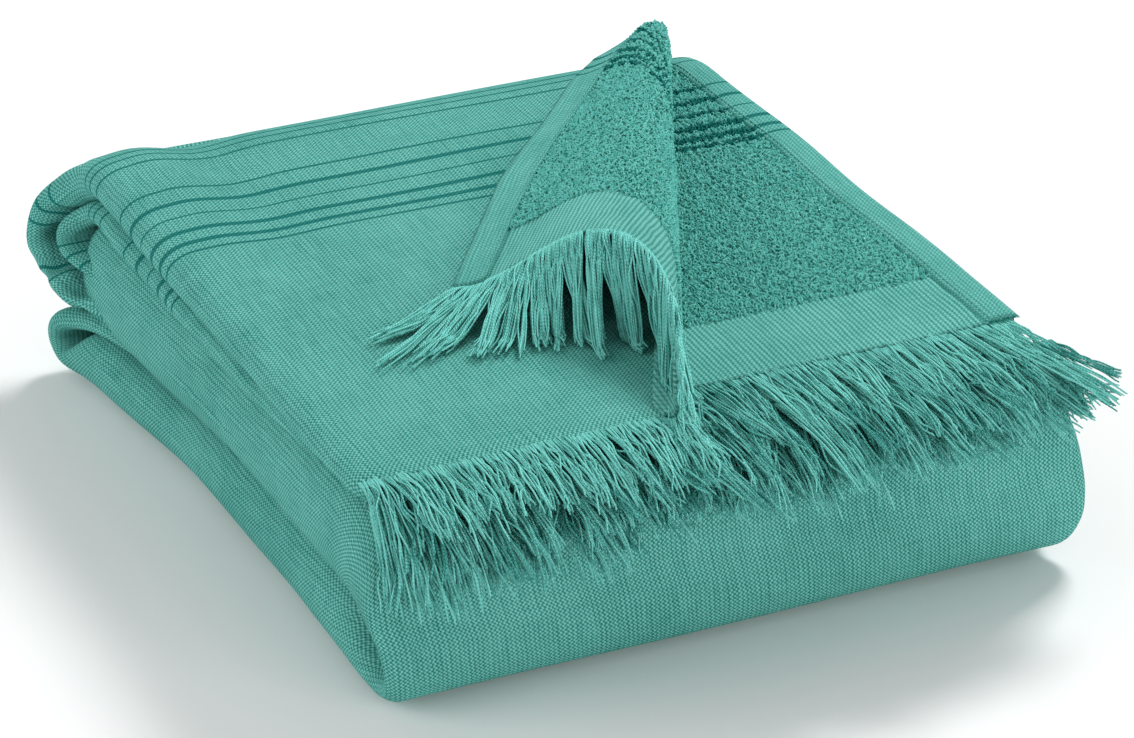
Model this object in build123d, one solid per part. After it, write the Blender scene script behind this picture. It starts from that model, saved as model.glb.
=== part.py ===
from build123d import *
import os
from math import atan2, cos, degrees, hypot, radians, sin, tan

# A fringed bath towel, folded into a square pack with one corner of its top layer turned back.
# It is folded twice across its width, its two fringed ends are laid together, and the
# doubled strip is folded in three like a Z. Every panel is two strips of four plies each.
# X runs along the fringed front edge, Y runs to the back, Z is up. Millimetres.

# Driving dimensions
PACK_WIDTH = 250.0            # a quarter of the towel's width
PACK_DEPTH = 278.0            # a third of the towel's half length
PLY = 3.0                     # one ply of cloth, pressed
SEAM = 13.0                   # width of the hem along each long side
FRINGE_START = 5.0            # how far behind the front fold the top fringe begins
BORDER = 36.0                 # flat woven border before the pile starts
EDGE_GAP = 0.2                # clear gap between stacked strips
STRIPE_PLACES = (168.0, 174.0, 182.0, 192.0, 202.0, 213.0, 238.0, 244.6)
STRIPE_WIDTHS = (1.1, 2.2, 2.2, 0.7, 2.2, 1.1, 1.1, 1.1)

# Heights at which the strips of the stack begin and end
BOTTOM_TOP = 29.0
MIDDLE_TOP = 63.0
LOWER_END_TOP = 72.0
UNDER_PLIES_TOP = 78.0
TERRY_TOP = 81.0
STACK_TOP = 84.0

HALF_WIDTH = PACK_WIDTH / 2
FOLD_FRONT = 35.0             # where the front folds meet the straight panels
FOLD_BACK = 246.0             # where the back folds meet the straight panels
HEM_LINE = HALF_WIDTH - 14.0  # outer edge of the terry layer's hem

# The turned-back corner is a cone of cloth. All its straight lines meet at the cone point.
CONE_POINT = (125.0, 326.0)
CREASE_ANGLE = radians(24.0)  # from the towel's long side to the crease
CONE_POINT_HEIGHT = STACK_TOP + 3.0
CONE_BASE = STACK_TOP - PLY / 2 + 0.6   # height of the cone's foot where its section is taken
SECTION_AT = 290.0            # distance from the cone point at which the section has these sizes
ROLL_RADIUS = 15.0            # lower right quarter of the roll
CROWN_RADIUS = 17.0           # upper right quarter of the roll
ROLL_CENTRE = 18.0
CROWN_CENTRE = 20.0
CORNER_REACH = 72.0           # from the crease to the free edge
FREE_EDGE_RISE = 4.6
NEAR_SECTION = 74.0
FAR_SECTION = 372.0
CORNER_CLOTH = 1.5            # half thickness of the corner's cloth
PILE_DEPTH = 1.6
HEM_PROUD = 1.0               # how far the turned hem stands above the cloth beside it

# Fringe bundles
BUNDLE_PITCH = 8.0
BUNDLE_WIDTH = 6.4
BUNDLE_DEPTH = 1.3

nodes = {}


def strip_solid(x0, x1, y0, y1, z0, z1):
    """A pressed strip of plies with rounded long edges, running front to back."""
    height = z1 - z0
    section = RectangleRounded(x1 - x0, height, height / 2 - 0.3)
    plane = Plane.XZ.offset(-y1)
    return extrude(plane * Pos((x0 + x1) / 2, (z0 + z1) / 2) * section, amount=y1 - y0)


def bend(y_end, z0, z1, depth, radius, facing, x0=-HALF_WIDTH + 3, x1=HALF_WIDTH - 2, hollow=None):
    """Half of a rounded bar along X: the bend of a strip. hollow is (z0, z1, depth, radius)."""
    section = Pos(y_end, (z0 + z1) / 2) * RectangleRounded(2 * depth, z1 - z0, radius)
    if hollow:
        h0, h1, hollow_depth, hollow_radius = hollow
        section -= Pos(y_end, (h0 + h1) / 2) * RectangleRounded(2 * hollow_depth, h1 - h0, hollow_radius)
    keep = Pos(y_end + facing * depth, (z0 + z1) / 2) * Rectangle(2 * depth, 2 * (z1 - z0))
    return extrude(Plane.YZ.offset(x0) * (section & keep), amount=x1 - x0)


def plate(points, z0, z1):
    """A flat piece of cloth with the given outline."""
    outline = make_face(Polyline(*points, close=True))
    return extrude(Plane.XY.offset(z0) * outline, amount=z1 - z0)


# ---- the two panels below, and the bends that join them ----
nodes["bottom_panel_lower"] = strip_solid(
    -HALF_WIDTH, HALF_WIDTH, FOLD_FRONT, FOLD_BACK, 0, BOTTOM_TOP / 2
)
nodes["bottom_panel_upper"] = strip_solid(
    -HALF_WIDTH + 2, HALF_WIDTH - 3, FOLD_FRONT, FOLD_BACK, BOTTOM_TOP / 2 + EDGE_GAP, BOTTOM_TOP
)
middle_split = (BOTTOM_TOP + MIDDLE_TOP) / 2
nodes["middle_panel_lower"] = strip_solid(
    -HALF_WIDTH + 1, HALF_WIDTH, FOLD_FRONT, FOLD_BACK, BOTTOM_TOP + EDGE_GAP, middle_split
)
nodes["middle_panel_upper"] = strip_solid(
    -HALF_WIDTH + 3, HALF_WIDTH - 2, FOLD_FRONT, FOLD_BACK, middle_split + EDGE_GAP, MIDDLE_TOP
)
fold_core = (BOTTOM_TOP / 2, middle_split, FOLD_FRONT - 16.0, 12.0)
nodes["front_fold_outer"] = bend(FOLD_FRONT, 0, MIDDLE_TOP, FOLD_FRONT, 22.0, -1, hollow=fold_core)
nodes["front_fold_inner"] = bend(
    FOLD_FRONT, BOTTOM_TOP / 2 + EDGE_GAP, middle_split - EDGE_GAP, FOLD_FRONT - 16.4, 11.6, -1
)
nodes["mid_length_fold"] = bend(FOLD_BACK, 0, BOTTOM_TOP - EDGE_GAP, 22.0, 14.0, 1)

# ---- the bends at the back, between the middle panel and the top panel ----
back_core = (middle_split + EDGE_GAP, LOWER_END_TOP, 18.0, 9.0)
back_depth = PACK_DEPTH - FOLD_BACK
nodes["back_fold_outer"] = bend(
    FOLD_BACK, BOTTOM_TOP + EDGE_GAP, STACK_TOP, back_depth, 18.0, 1, hollow=back_core
)
nodes["back_fold_inner"] = bend(
    FOLD_BACK, middle_split + 2 * EDGE_GAP, LOWER_END_TOP - EDGE_GAP, 17.6, 8.6, 1
)

# ---- the top panel: the towel's lower end, then the four plies of its upper end ----
nodes["lower_end_plies"] = strip_solid(
    -HALF_WIDTH + 1.5, HALF_WIDTH - 3, FRINGE_START + 8, FOLD_BACK, MIDDLE_TOP + EDGE_GAP, LOWER_END_TOP
)
nodes["under_plies"] = strip_solid(
    -HALF_WIDTH + 7, HALF_WIDTH - 1, FRINGE_START + 6, FOLD_BACK,
    LOWER_END_TOP + EDGE_GAP, UNDER_PLIES_TOP,
)
bead_right = -HALF_WIDTH + 6.8
bead_height = STACK_TOP - LOWER_END_TOP - EDGE_GAP
bead_bar = strip_solid(
    -HALF_WIDTH, -HALF_WIDTH + 2 * bead_height, FRINGE_START, FOLD_BACK,
    LOWER_END_TOP + EDGE_GAP, STACK_TOP,
)
bead_side = Pos(bead_right - 50, PACK_DEPTH / 2, STACK_TOP) * Box(100, 2 * PACK_DEPTH, 100)
nodes["left_edge_bead"] = bead_bar & bead_side

terry_front = FRINGE_START + 18
nodes["terry_layer"] = plate(
    [(bead_right + EDGE_GAP, terry_front), (HEM_LINE - SEAM, terry_front),
     (HEM_LINE - SEAM, FOLD_BACK), (bead_right + EDGE_GAP, FOLD_BACK)],
    UNDER_PLIES_TOP + EDGE_GAP, TERRY_TOP,
)
nodes["terry_layer_hem"] = strip_solid(
    HEM_LINE - SEAM + EDGE_GAP, HEM_LINE, terry_front, FOLD_BACK,
    UNDER_PLIES_TOP + EDGE_GAP, TERRY_TOP + 1.6,
)


def crease_x(y, across=0.0):
    """Where a straight line of the cone crosses the depth y. across is its place in the section."""
    angle = CREASE_ANGLE + atan2(across, SECTION_AT)
    return CONE_POINT[0] - (CONE_POINT[1] - y) * tan(angle)


lift_off = ROLL_CENTRE + 1.0
nodes["face_layer"] = plate(
    [(bead_right + EDGE_GAP, FRINGE_START), (crease_x(FRINGE_START, lift_off), FRINGE_START),
     (crease_x(FOLD_BACK, lift_off), FOLD_BACK), (bead_right + EDGE_GAP, FOLD_BACK)],
    TERRY_TOP + EDGE_GAP, STACK_TOP - 0.4,
)
pile_front = terry_front + BORDER
pile_back = FOLD_BACK
pile_left = -6.0
nodes["terry_pile"] = plate(
    [(crease_x(pile_front, pile_left), pile_front), (HEM_LINE - SEAM - 0.6, pile_front),
     (HEM_LINE - SEAM - 0.6, pile_back), (crease_x(pile_back, pile_left), pile_back)],
    TERRY_TOP, TERRY_TOP + PILE_DEPTH,
)

# The dark weft yarns stand a little proud of the flat-woven face.
stripes = [
    plate(
        [(bead_right + 1, place - width / 2), (crease_x(place, 80.0), place - width / 2),
         (crease_x(place, 80.0), place + width / 2), (bead_right + 1, place + width / 2)],
        STACK_TOP - 0.4, STACK_TOP,
    )
    for place, width in zip(STRIPE_PLACES, STRIPE_WIDTHS)
]
nodes["face_weft_stripes"] = Compound(children=stripes)


def stitches_along(start, end, up, pitch=5.0, length=3.2):
    """Short thread stitches laid along a straight line, each one its own solid."""
    run = end - start
    along = run.normalized()
    up = Vector(*up)
    plane = Plane(origin=start, x_dir=along, z_dir=up - along * up.dot(along))
    count = int(run.length // pitch)
    return [
        plane * Pos(pitch * (i + 0.5), 0, 0) * Box(length, 0.6, 0.6)
        for i in range(count)
    ]


stitch_x = HEM_LINE - SEAM + 2.6
stitch_z = TERRY_TOP + 1.95
nodes["terry_hem_stitching"] = Compound(children=stitches_along(
    Vector(stitch_x, terry_front, stitch_z), Vector(stitch_x, FOLD_BACK, stitch_z), (0, 0, 1)
))


# ---- the turned-back corner ----
crease_dir = (-sin(CREASE_ANGLE), -cos(CREASE_ANGLE), 0)
across_dir = (-cos(CREASE_ANGLE), sin(CREASE_ANGLE), 0)


def cone_place(distance, across, rise):
    """A point of the cone: distance along the crease, section coordinates at full size."""
    scale = distance / SECTION_AT
    return (
        CONE_POINT[0] + crease_dir[0] * distance + across_dir[0] * across * scale,
        CONE_POINT[1] + crease_dir[1] * distance + across_dir[1] * across * scale,
        CONE_POINT_HEIGHT + (CONE_BASE - CONE_POINT_HEIGHT + rise) * scale,
    )


crown_height = ROLL_RADIUS + CROWN_RADIUS
slope_run = CORNER_REACH - CROWN_CENTRE
slope_drop = crown_height - FREE_EDGE_RISE
SLOPE_RADIUS = (slope_run**2 + slope_drop**2) / (2 * slope_drop)
SLOPE_ANGLE = degrees(atan2(slope_run, SLOPE_RADIUS - slope_drop))


def band_section(distance, arcs, low, high):
    """A band between two offsets of a chain of arcs, at a distance from the cone point."""
    scale = distance / SECTION_AT
    place = Plane(
        origin=cone_place(distance, 0, 0),
        x_dir=across_dir,
        z_dir=(-crease_dir[0], -crease_dir[1], 0),
    )
    sides = []
    for offset_out in (low, high):
        sides.append([
            CenterArc((u * scale, v * scale), radius * scale + offset_out, start, sweep)
            for u, v, radius, start, sweep in arcs
        ])
    ends = [
        Line(sides[0][0] @ 0, sides[1][0] @ 0),
        Line(sides[0][-1] @ 1, sides[1][-1] @ 1),
    ]
    return place * make_face(Curve() + sides[0] + sides[1] + ends)


def cone_band(arcs, low, high):
    """The band lofted along the straight lines of the cone."""
    near = band_section(NEAR_SECTION, arcs, low, high)
    far = band_section(FAR_SECTION, arcs, low, high)
    return loft([near, far], ruled=True)


def slope_arc(from_share, to_share):
    """Part of the long slope from the crown down to the free edge."""
    start = 90 - SLOPE_ANGLE * from_share
    sweep = -SLOPE_ANGLE * (to_share - from_share)
    return (CROWN_CENTRE, crown_height - SLOPE_RADIUS, SLOPE_RADIUS, start, sweep)


roll_arc = (ROLL_CENTRE, ROLL_RADIUS, ROLL_RADIUS, 270, -90)
crown_arc = (CROWN_CENTRE, ROLL_RADIUS, CROWN_RADIUS, 180, -90)
hem_share = 1 - SEAM / (radians(SLOPE_ANGLE) * SLOPE_RADIUS)

# The fringed edge of the corner lies in one sloping plane.
edge_low = Vector(-16.0, 2.0, STACK_TOP)
edge_crown = Vector(-16.0, 69.0, 116.0)
edge_corner = Vector(-53.0, 103.0, 88.0)
edge_normal = (edge_crown - edge_low).cross(edge_corner - edge_low).normalized()
fringe_edge = Plane(origin=edge_low, z_dir=edge_normal)
border_edge = fringe_edge.offset(-BORDER)


def behind(solid, plane):
    """The part of the solid on the back side of a plane."""
    return split(solid, bisect_by=plane, keep=Keep.BOTTOM)


turned_cloth = cone_band([crown_arc, slope_arc(0, hem_share)], -CORNER_CLOTH, CORNER_CLOTH)
nodes["turned_corner"] = behind(turned_cloth, fringe_edge)
turned_hem = cone_band([slope_arc(hem_share, 1)], -CORNER_CLOTH, CORNER_CLOTH + HEM_PROUD)
nodes["corner_hem"] = behind(turned_hem, fringe_edge)
pile_band = cone_band([crown_arc, slope_arc(0, hem_share)], CORNER_CLOTH, CORNER_CLOTH + PILE_DEPTH)
nodes["corner_pile"] = behind(pile_band, border_edge)

roll_front = Plane(
    origin=(crease_x(FRINGE_START, lift_off), FRINGE_START, CONE_BASE),
    x_dir=(0, 0, 1),
    z_dir=(0.39, -0.92, 0),
)
nodes["crease_roll"] = behind(cone_band([roll_arc], -CORNER_CLOTH, CORNER_CLOTH), roll_front)

stitch_angle = radians(90 - SLOPE_ANGLE * (hem_share + 0.06))
stitch_across = CROWN_CENTRE + SLOPE_RADIUS * cos(stitch_angle)
stitch_rise = crown_height - SLOPE_RADIUS + SLOPE_RADIUS * sin(stitch_angle)
stitch_up = Vector(
    across_dir[0] * cos(stitch_angle), across_dir[1] * cos(stitch_angle), sin(stitch_angle)
)
stitch_lift = stitch_up * (CORNER_CLOTH + HEM_PROUD + 0.35)
nodes["corner_hem_stitching"] = Compound(children=stitches_along(
    Vector(*cone_place(110.0, stitch_across, stitch_rise)) + stitch_lift,
    Vector(*cone_place(268.0, stitch_across, stitch_rise)) + stitch_lift,
    tuple(stitch_up),
))


# ---- fringes ----
def bundle(base, knee, tip, side):
    """A flat bundle of yarns that leaves the cloth, bends over its knee and hangs to a tip."""
    base, knee, tip, side = (Vector(*p) for p in (base, knee, tip, side))
    first = (knee - base).normalized()
    second = (tip - knee).normalized()
    thick_first = first.cross(side).normalized() * (BUNDLE_DEPTH / 2)
    thick_second = second.cross(side).normalized() * (BUNDLE_DEPTH / 2)
    thick_knee = (thick_first + thick_second) * 0.5
    outline = Polyline(
        base + thick_first, knee + thick_knee, tip + thick_second * 0.7,
        tip - thick_second * 0.7, knee - thick_knee, base - thick_first, close=True,
    )
    return extrude(make_face(outline), amount=BUNDLE_WIDTH / 2, dir=side, both=True)


# Each row: how far back it starts, its height, where it bends over, and where it ends.
# A higher row hangs outside the rows below it.
FRINGE_ROWS = (
    (FRINGE_START - 0.2, 82.3, (-7.0, 79.5), (-19.0, 55.0), crease_x(FRINGE_START, lift_off)),
    (terry_front - 0.2, 80.0, (-4.6, 78.2), (-15.5, 56.0), HALF_WIDTH + 1),
    (FRINGE_START + 5.8, 76.6, (-2.0, 74.2), (-12.5, 50.0), HALF_WIDTH + 5),
    (FRINGE_START + 5.8, 74.2, (0.2, 71.6), (-10.0, 49.0), HALF_WIDTH + 3),
    (FRINGE_START + 7.8, 71.0, (2.2, 69.0), (-7.6, 48.0), HALF_WIDTH - 2),
    (FRINGE_START + 7.8, 69.0, (3.6, 67.0), (-5.6, 47.0), HALF_WIDTH),
    (FRINGE_START + 7.8, 67.0, (4.8, 65.2), (-3.8, 46.0), HALF_WIDTH - 3),
)
for number, (start_y, start_z, knee, tip, right_end) in enumerate(FRINGE_ROWS, start=1):
    left_end = -HALF_WIDTH + (1.0 if number == 1 else 7.2)
    count = int((right_end - left_end) // BUNDLE_PITCH)
    row = []
    for i in range(count):
        x = left_end + BUNDLE_PITCH * (i + 0.5)
        row.append(bundle((x, start_y, start_z), (x, *knee), (x, *tip), (1, 0, 0)))
    nodes[f"fringe_row_{number}"] = Compound(children=row)


def corner_edge_point(across, rise):
    """Where a straight line of the cone meets the sloping plane of the fringed edge."""
    start = Vector(*cone_place(NEAR_SECTION, across, rise))
    end = Vector(*cone_place(FAR_SECTION, across, rise))
    share = (edge_low - start).dot(edge_normal) / (end - start).dot(edge_normal)
    return start + (end - start) * share, (end - start).normalized()


def straight_bundle(start, end, side):
    """A flat bundle of yarns that runs straight from start to end."""
    run = end - start
    across = (side - run.normalized() * side.dot(run.normalized())).normalized()
    plane = Plane(origin=start, x_dir=across, z_dir=run)
    return extrude(plane * Rectangle(BUNDLE_WIDTH, BUNDLE_DEPTH), amount=run.length)


CORNER_BUNDLES = 9
CORNER_FRINGE_LENGTH = 24.0
corner_bundles = []
for i in range(CORNER_BUNDLES):
    angle = radians(90 - SLOPE_ANGLE * (i + 0.5) / CORNER_BUNDLES)
    across = CROWN_CENTRE + SLOPE_RADIUS * cos(angle)
    rise = crown_height - SLOPE_RADIUS + SLOPE_RADIUS * sin(angle)
    root_point, along = corner_edge_point(across, rise)
    side = Vector(across_dir[0] * sin(angle), across_dir[1] * sin(angle), -cos(angle))
    fall = min(14.0, root_point.Z - STACK_TOP - 2.5)
    tip = root_point + along * CORNER_FRINGE_LENGTH * 0.8 + Vector(0, 0, -fall)
    corner_bundles.append(straight_bundle(root_point + along * 3.2, tip, side))
nodes["corner_fringe"] = Compound(children=corner_bundles)

# ---- hems of the plies inside the stack, seen from the right ----
hem_back = FOLD_BACK
lower_hems = []
for z0, z1 in ((MIDDLE_TOP + 0.9, MIDDLE_TOP + 3.4), (MIDDLE_TOP + 3.8, MIDDLE_TOP + 6.4)):
    lower_hems.append(
        Pos(HALF_WIDTH - 1.4, (FRINGE_START + 8 + hem_back) / 2, (z0 + z1) / 2)
        * Box(2.8, hem_back - FRINGE_START - 8, z1 - z0)
    )
nodes["lower_end_hems"] = Compound(children=lower_hems) - nodes["lower_end_plies"]

os.makedirs("parts", exist_ok=True)
whole = Compound(children=[Compound(children=node.solids()) for node in nodes.values()])
box = whole.bounding_box()
to_origin = Pos(-(box.min.X + box.max.X) / 2, -(box.min.Y + box.max.Y) / 2, -box.min.Z)
print("offset", to_origin.position, "size", box.size)
for name, shape in nodes.items():
    export_step(to_origin * Compound(children=shape.solids()), f"parts/{name}.step")
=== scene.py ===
from math import cos, pi, radians, sin

import bpy
import numpy as np
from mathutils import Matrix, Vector


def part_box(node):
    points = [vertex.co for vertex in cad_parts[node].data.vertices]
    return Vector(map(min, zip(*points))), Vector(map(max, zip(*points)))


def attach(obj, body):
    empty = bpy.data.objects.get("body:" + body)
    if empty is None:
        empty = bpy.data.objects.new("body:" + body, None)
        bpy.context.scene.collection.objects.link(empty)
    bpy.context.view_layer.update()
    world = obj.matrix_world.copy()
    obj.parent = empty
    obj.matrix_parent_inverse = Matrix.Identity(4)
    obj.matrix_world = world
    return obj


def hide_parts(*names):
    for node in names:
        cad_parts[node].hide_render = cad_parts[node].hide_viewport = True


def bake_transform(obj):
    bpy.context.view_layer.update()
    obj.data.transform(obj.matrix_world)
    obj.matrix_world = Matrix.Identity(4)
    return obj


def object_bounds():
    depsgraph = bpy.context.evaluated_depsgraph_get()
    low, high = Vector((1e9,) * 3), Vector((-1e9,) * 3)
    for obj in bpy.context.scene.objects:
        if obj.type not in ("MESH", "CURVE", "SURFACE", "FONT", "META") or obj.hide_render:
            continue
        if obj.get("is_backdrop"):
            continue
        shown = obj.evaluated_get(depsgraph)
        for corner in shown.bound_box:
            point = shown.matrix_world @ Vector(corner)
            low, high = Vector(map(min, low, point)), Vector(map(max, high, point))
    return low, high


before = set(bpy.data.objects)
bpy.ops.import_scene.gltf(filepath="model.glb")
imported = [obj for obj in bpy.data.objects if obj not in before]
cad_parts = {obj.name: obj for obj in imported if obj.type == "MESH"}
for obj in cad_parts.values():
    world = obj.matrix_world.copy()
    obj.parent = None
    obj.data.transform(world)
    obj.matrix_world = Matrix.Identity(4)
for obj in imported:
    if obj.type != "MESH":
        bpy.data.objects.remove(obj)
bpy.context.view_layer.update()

# A folded, fringed bath towel. Lengths here are millimetres in the pack's own frame: X from the
# middle of the pack, Y from its front face and Z from what it lies on. to_row() gives row metres.
MM = 0.001
STRIP_LOW, STRIP_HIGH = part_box("bottom_panel_lower")
HEM_LOW, HEM_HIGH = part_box("terry_layer_hem")
FRONT_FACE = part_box("front_fold_outer")[0].y
PACK_ORIGIN = np.array([(STRIP_LOW.x + STRIP_HIGH.x) / 2, FRONT_FACE, 0.0]) / MM


def behind_front(y):
    """How far a depth in row metres lies behind the pack's front face, in mm."""
    return (y - FRONT_FACE) / MM


BACK = behind_front(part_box("back_fold_outer")[1].y)
FRINGE_START = behind_front(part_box("face_layer")[0].y)
TERRY_FRONT = behind_front(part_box("terry_layer")[0].y)
PILE_FRONT = behind_front(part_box("terry_pile")[0].y)
STACK_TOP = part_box("left_edge_bead")[1].z / MM
HEM_LINE = HEM_HIGH.x / MM - PACK_ORIGIN[0]
SEAM = (HEM_HIGH.x - HEM_LOW.x) / MM

PLY = 3.0  # one pressed ply of the terry-backed cloth
THREAD = 0.78  # pitch of the weave
YARN_RADIUS = 0.3
# The dark weft stripes: how far along the cloth from its fringed end, and how wide.
STRIPES = ((168, 1.1), (174, 2.2), (182, 2.2), (192, 0.7), (202, 2.2), (213, 1.1),
           (238, 1.1), (245, 1.1), (251, 1.1), (276, 1.1), (283, 1.1), (290, 1.1),
           (312, 1.6), (320, 1.1))


def to_row(points):
    return (np.asarray(points, float) + PACK_ORIGIN) * MM


def unit(vectors):
    return vectors / np.maximum(np.linalg.norm(vectors, axis=-1, keepdims=True), 1e-9)


def bend(low_body, high_body, y, low, high):
    """Where cloth bends between two bodies: at the depth y, from the height low up to high."""
    return low_body, high_body, to_row((0.0, y, low)), to_row((0.0, y, high))


def belongs(piece, slot, where, *nodes):
    """Ties a piece to a body; for a bend, only fixes its place. Hides the parts that it stands for. slot,
    what it is made of, is not used.
    """
    if isinstance(where, str):
        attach(piece, where)
    else:
        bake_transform(piece)
    if nodes:
        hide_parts(*nodes)


def bell(x, place, width):
    """1 at the place, falling smoothly to 0 on both sides."""
    return np.exp(-((x - place) / width) ** 2)


# ---- camera ----
def look_from(target, azimuth, elevation, distance):
    """A camera that looks at target, in row metres. Angles in degrees; azimuth 0 looks along +Y."""
    turn, rise = radians(azimuth), radians(elevation)
    back = Vector((sin(turn) * cos(rise), -cos(turn) * cos(rise), sin(rise)))
    camera = bpy.data.objects.new("camera", bpy.data.cameras.new("camera"))
    camera.location = Vector(target) + back * distance
    camera.rotation_mode = "QUATERNION"
    camera.rotation_quaternion = (-back).to_track_quat("-Z", "Y")
    camera.data.sensor_width = 36.0
    camera.data.lens = 139.7
    bpy.context.scene.collection.objects.link(camera)
    bpy.context.scene.camera = camera


look_from(to_row((0.0, 129.0, 35.0)), azimuth=-24.4, elevation=28.0, distance=1.465)
bpy.context.scene.view_settings.view_transform = "Standard"


# ---- materials ----
class Graph:
    """Builds a material's node tree from short calls."""

    def __init__(self, name, roughness, specular=0.06):
        self.material = bpy.data.materials.new(name)
        self.material.use_nodes = True
        self.tree = self.material.node_tree
        self.shader = self.tree.nodes["Principled BSDF"]
        self.shader.inputs["Roughness"].default_value = roughness
        self.shader.inputs["Specular IOR Level"].default_value = specular

    def put(self, socket, value):
        if isinstance(value, bpy.types.NodeSocket):
            self.tree.links.new(value, socket)
        else:
            socket.default_value = value

    def math(self, operation, *values):
        node = self.tree.nodes.new("ShaderNodeMath")
        node.operation = operation
        for socket, value in zip(node.inputs, values):
            self.put(socket, value)
        return node.outputs[0]

    def plus(self, first, second):
        return self.math("ADD", first, second)

    def times(self, first, second):
        return self.math("MULTIPLY", first, second)

    def sway(self, value, unevenness, size, centre=0.5):
        """value plus size times how far the unevenness is from its centre."""
        return self.plus(value, self.times(self.math("SUBTRACT", unevenness, centre), size))

    def cloth(self):
        """Cloth coordinates in mm: u across the towel, v along it, and a random share."""
        attribute = self.tree.nodes.new("ShaderNodeAttribute")
        attribute.attribute_name = "cloth"
        parts = self.tree.nodes.new("ShaderNodeSeparateXYZ")
        self.tree.links.new(attribute.outputs["Vector"], parts.inputs[0])
        return parts.outputs[0], parts.outputs[1], parts.outputs[2]

    def noise(self, x, y, z, scale=1.0, detail=2.0):
        """Noise between 0 and 1 at a point given by three numbers or sockets."""
        point = self.tree.nodes.new("ShaderNodeCombineXYZ")
        for socket, value in zip(point.inputs, (x, y, z)):
            self.put(socket, value)
        node = self.tree.nodes.new("ShaderNodeTexNoise")
        node.inputs["Scale"].default_value = scale
        node.inputs["Detail"].default_value = detail
        self.tree.links.new(point.outputs[0], node.inputs["Vector"])
        return node.outputs["Fac"]

    def mix(self, factor, low, high):
        node = self.tree.nodes.new("ShaderNodeMix")
        node.data_type = "RGBA"
        self.put(node.inputs["Factor"], factor)
        self.put(node.inputs["A"], low)
        self.put(node.inputs["B"], high)
        return node.outputs["Result"]

    def between(self, value, low, high):
        """0 below low, 1 above high, smooth in between."""
        node = self.tree.nodes.new("ShaderNodeMapRange")
        node.interpolation_type = "SMOOTHSTEP"
        self.put(node.inputs["Value"], value)
        node.inputs["From Min"].default_value = low
        node.inputs["From Max"].default_value = high
        return node.outputs[0]

    def bump(self, height, depth, strength=1.0):
        """height is 0 to 1, and depth is how far 1 stands above 0, in metres."""
        node = self.tree.nodes.new("ShaderNodeBump")
        node.inputs["Strength"].default_value = strength
        node.inputs["Distance"].default_value = depth
        self.tree.links.new(height, node.inputs["Height"])
        self.tree.links.new(node.outputs[0], self.shader.inputs["Normal"])

    def finish(self, color):
        self.put(self.shader.inputs["Base Color"], color)
        return self.material


def linear(red, green, blue):
    """A colour given as 8-bit display values."""
    values = []
    for part in (red, green, blue):
        share = part / 255
        values.append(share / 12.92 if share <= 0.04045 else ((share + 0.055) / 1.055) ** 2.4)
    return (*values, 1.0)


TEAL = linear(74, 160, 150)
# Painted highlight of the thread crossings, and painted shade in the gaps between threads.
TEAL_HIGHLIGHT = linear(136, 212, 202)
TEAL_GAP_SHADE = linear(0, 90, 80)
STRIPE = linear(0, 108, 102)
TERRY_LIGHT = linear(120, 206, 196)
TERRY_DARK = linear(54, 156, 146)
# Painted highlight and painted shade of the yarn, mixed by its grooves and by each strand's tone.
YARN_HIGHLIGHT = linear(146, 240, 230)
YARN_SHADE = linear(0, 128, 118)


def stripe_mask(graph, v, softness=0.25):
    """1 where a dark weft stripe runs across the cloth."""
    total = 0.0
    for place, width in STRIPES:
        inside = graph.math("COMPARE", v, float(place), width / 2 + softness / 2)
        total = graph.plus(inside, total)
    return graph.math("MINIMUM", total, 1.0)


def woven(name, stripes=False, rib=2 * THREAD, rib_depth=0.3, dots=1.0):
    """Cloth of paired threads: painted highlight on the crossings, painted shade in the gaps and between
    the ribs and, if asked, dark weft stripes.

    rib is the pitch of the ribs along the cloth, and dots is how strongly the painted highlight and shade
    of the crossings show.
    """
    graph = Graph(name, roughness=0.95)
    u, v, _ = graph.cloth()
    drift = graph.noise(u, v, 0.0, 0.09, 3.0)
    drifted_u = graph.sway(u, drift, 1.6)
    wave_u = graph.times(drifted_u, pi / THREAD)
    wave_v = graph.times(graph.sway(v, drift, 1.6), pi / THREAD)
    checks = graph.times(graph.math("SINE", wave_u), graph.math("SINE", wave_v))
    warp_up = graph.between(checks, -0.45, 0.35)
    thread_u = graph.noise(graph.times(u, 1.1), graph.times(v, 0.06), 4.0)
    thread_v = graph.noise(graph.times(u, 0.06), graph.times(v, 1.1), 9.0)
    fuzz = graph.noise(graph.times(u, 2.6), graph.times(v, 2.6), 2.0, detail=3.0)
    broad = graph.noise(u, v, 5.0, 0.02)
    # How light the surface is: painted highlight on the crossings and painted shade in the gaps, with
    # slow and thread-wide unevenness.
    light = graph.times(warp_up, 0.62 * dots)
    light = graph.plus(light, 0.24 + 0.5 * (1 - dots))
    light = graph.sway(light, thread_u, 0.45)
    light = graph.sway(light, thread_v, 0.3)
    light = graph.sway(light, fuzz, 0.8)
    light = graph.sway(light, broad, 0.3)
    # Painted shade between the ribs: the colour darkens in their grooves.
    ribs = graph.math("ABSOLUTE", graph.math("SINE", graph.times(drifted_u, pi / rib)))
    light = graph.sway(light, ribs, rib_depth, centre=0.6)
    # Painted shade in the gaps, painted highlight on the crossings.
    tone = graph.mix(graph.between(light, -0.1, 0.5), TEAL_GAP_SHADE, TEAL)
    tone = graph.mix(graph.between(light, 0.5, 1.1), tone, TEAL_HIGHLIGHT)
    if stripes:
        mask = stripe_mask(graph, graph.sway(v, fuzz, 0.9))
        weft_up = graph.math("SUBTRACT", 1.0, graph.times(warp_up, 0.2))
        tone = graph.mix(graph.times(mask, weft_up), tone, STRIPE)
    height = graph.plus(graph.times(warp_up, 0.8), graph.times(fuzz, 0.5))
    graph.bump(height, 0.0003, 1.0)
    return graph.finish(tone)


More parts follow.
